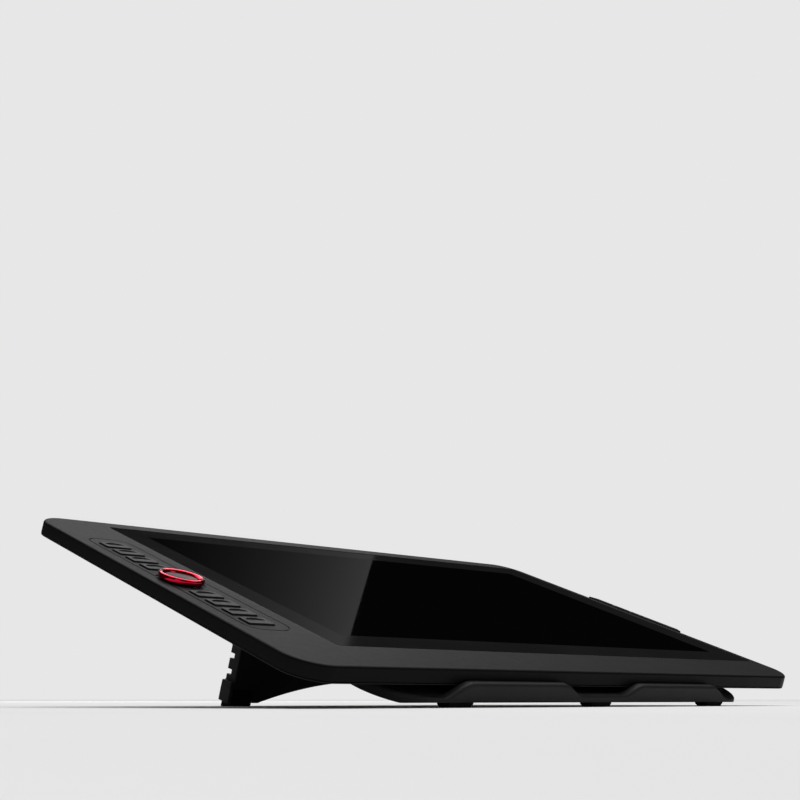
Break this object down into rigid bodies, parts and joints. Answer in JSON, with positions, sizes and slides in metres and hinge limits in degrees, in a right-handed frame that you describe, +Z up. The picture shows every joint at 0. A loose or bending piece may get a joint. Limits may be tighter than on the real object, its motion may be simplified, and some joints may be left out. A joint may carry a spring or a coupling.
{
  "type": "pen drawing tablet",
  "caption": "Pen drawing tablet with a large glass screen, a key column with a red dial, and a folding ribbed desk stand.",
  "frame": {"origin": "centre of the bounding box at the desk surface, with the tablet lying on the stand and the stand's leg open", "axes": "+X to the user's right, +Y away from the user, +Z up; the screen is tilted 20 degrees towards the user"},
  "size_m": [0.4488, 0.2702, 0.1147],
  "materials": {
    "stand_plastic": "fine moulded texture, near black",
    "frame_plastic": "fine satin texture, dark grey",
    "cover_plastic": "fine moulded texture, near black",
    "key_plastic": "satin, dark grey",
    "rubber": "matt black rubber",
    "cover_glass": "glossy black-bordered etched glass",
    "screen": "dark switched-off screen",
    "light_guide": "white light guide",
    "shield_metal": "plain sheet",
    "circuit_board": "green solder mask",
    "silicone": "translucent silicone",
    "ribbon": "amber film",
    "crimson_metal": "bright crimson anodised, polished edge",
    "dial_cap": "dark grey satin dish",
    "steel": "plain turned steel"
  },
  "bodies": {
    "stand": {"stand_plate": "stand_plastic", "grip_strip_left": "rubber", "grip_strip_right": "rubber", "hinge_pin_left": "steel", "hinge_pin_right": "steel", "front_foot_left": "rubber", "front_foot_centre": "rubber", "front_foot_right": "rubber"},
    "leg": {"stand_leg": "stand_plastic", "leg_foot_left": "rubber", "leg_foot_right": "rubber"},
    "tablet": {"front_frame": "frame_plastic", "back_cover": "cover_plastic", "case_screw_1": "steel", "case_screw_2": "steel", "case_screw_3": "steel", "case_screw_4": "steel", "case_screw_5": "steel", "case_screw_6": "steel", "rear_foot_1": "rubber", "rear_foot_2": "rubber", "rear_foot_3": "rubber", "rear_foot_4": "rubber", "cover_glass": "cover_glass", "lcd_panel": "screen", "backlight_unit": "light_guide", "digitizer_board": "circuit_board", "shield_plate": "shield_metal", "main_board": "circuit_board", "key_board": "circuit_board", "key_dome_sheet": "silicone", "side_button_board": "circuit_board", "screen_ribbon": "ribbon", "key_ribbon": "ribbon", "usb_port": "steel", "dial_encoder": "steel", "control_strip": "cover_plastic"},
    "dial": {"dial_ring": "crimson_metal", "dial_cap": "dial_cap", "dial_shaft": "steel"},
    "key_1": {"key_1": "key_plastic"},
    "key_2": {"key_2": "key_plastic"},
    "key_3": {"key_3": "key_plastic"},
    "key_4": {"key_4": "key_plastic"},
    "key_5": {"key_5": "key_plastic"},
    "key_6": {"key_6": "key_plastic"},
    "key_7": {"key_7": "key_plastic"},
    "key_8": {"key_8": "key_plastic"},
    "power_button": {"power_button": "key_plastic"},
    "brightness_up_button": {"brightness_up_button": "key_plastic"},
    "brightness_down_button": {"brightness_down_button": "key_plastic"}
  },
  "joints": [
    {"name": "tablet_lift", "type": "slide", "parent": "stand", "child": "tablet", "axis": [0, 0.708, 0.7062], "range_m": [0, 0.064]},
    {"name": "leg_fold", "type": "hinge", "parent": "stand", "child": "leg", "pos_m": [-0.00275, 0.06087, 0.067], "axis": [-1, 0, 0], "range_deg": [0, 86]},
    {"name": "dial_spin", "type": "hinge", "parent": "tablet", "child": "dial", "pos_m": [-0.20415, 0.00004, 0.06923], "axis": [0, -0.342, 0.9397], "continuous": true},
    {"name": "key_1_press", "type": "slide", "parent": "tablet", "child": "key_1", "axis": [0, 0.342, -0.9397], "range_m": [0, 0.0008], "stiffness_N_per_m": 600, "springref_m": -0.0005},
    {"name": "key_2_press", "type": "slide", "parent": "tablet", "child": "key_2", "axis": [0, 0.342, -0.9397], "range_m": [0, 0.0008], "stiffness_N_per_m": 600, "springref_m": -0.0005},
    {"name": "key_3_press", "type": "slide", "parent": "tablet", "child": "key_3", "axis": [0, 0.342, -0.9397], "range_m": [0, 0.0008], "stiffness_N_per_m": 600, "springref_m": -0.0005},
    {"name": "key_4_press", "type": "slide", "parent": "tablet", "child": "key_4", "axis": [0, 0.342, -0.9397], "range_m": [0, 0.0008], "stiffness_N_per_m": 600, "springref_m": -0.0005},
    {"name": "key_5_press", "type": "slide", "parent": "tablet", "child": "key_5", "axis": [0, 0.342, -0.9397], "range_m": [0, 0.0008], "stiffness_N_per_m": 600, "springref_m": -0.0005},
    {"name": "key_6_press", "type": "slide", "parent": "tablet", "child": "key_6", "axis": [0, 0.342, -0.9397], "range_m": [0, 0.0008], "stiffness_N_per_m": 600, "springref_m": -0.0005},
    {"name": "key_7_press", "type": "slide", "parent": "tablet", "child": "key_7", "axis": [0, 0.342, -0.9397], "range_m": [0, 0.0008], "stiffness_N_per_m": 600, "springref_m": -0.0005},
    {"name": "key_8_press", "type": "slide", "parent": "tablet", "child": "key_8", "axis": [0, 0.342, -0.9397], "range_m": [0, 0.0008], "stiffness_N_per_m": 600, "springref_m": -0.0005},
    {"name": "power_button_press", "type": "slide", "parent": "tablet", "child": "power_button", "axis": [-1, 0, 0], "range_m": [0, 0.0005], "stiffness_N_per_m": 800, "springref_m": -0.0004},
    {"name": "brightness_up_button_press", "type": "slide", "parent": "tablet", "child": "brightness_up_button", "axis": [-1, 0, 0], "range_m": [0, 0.0005], "stiffness_N_per_m": 800, "springref_m": -0.0004},
    {"name": "brightness_down_button_press", "type": "slide", "parent": "tablet", "child": "brightness_down_button", "axis": [-1, 0, 0], "range_m": [0, 0.0005], "stiffness_N_per_m": 800, "springref_m": -0.0004}
  ]
}
